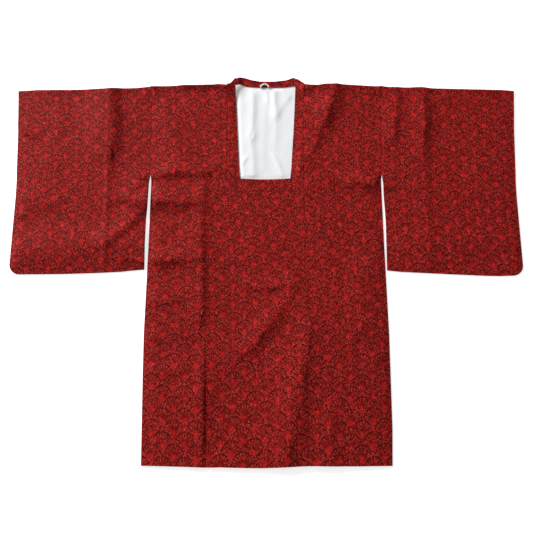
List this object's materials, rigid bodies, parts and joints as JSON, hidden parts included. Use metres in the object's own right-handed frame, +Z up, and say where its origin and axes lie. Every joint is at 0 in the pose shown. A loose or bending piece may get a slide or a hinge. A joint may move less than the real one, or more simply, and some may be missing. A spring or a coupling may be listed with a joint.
{
  "type": "michiyuki coat laid flat",
  "caption": "Lined Japanese michiyuki over-coat with a square neck and wide sleeves, laid flat with its front up.",
  "frame": {"origin": "on the surface the coat lies on, under the centre of its bounding box", "axes": "+X towards the wearer's left sleeve, +Y towards the collar, +Z up out of the front of the coat"},
  "size_m": [1.2886, 0.9828, 0.0105],
  "materials": {
    "red_crepe": "woven silk crepe with a small all-over scale repeat, soft sheen",
    "white_lining": "plain white silk lining, smooth with a soft sheen",
    "white_cord": "twisted white cord, matt"
  },
  "bodies": {
    "root": {"back_right": "red_crepe", "back_left": "red_crepe", "back_lining": "white_lining", "front_right": "red_crepe", "front_left": "red_crepe", "overlap_right": "red_crepe", "overlap_left": "red_crepe", "collar_back": "red_crepe", "collar_right": "red_crepe", "collar_left": "red_crepe", "collar_bottom_under": "red_crepe", "collar_bottom": "red_crepe", "sleeve_right": "red_crepe", "sleeve_left": "red_crepe", "hanger_loop": "white_cord"}
  },
  "joints": []
}
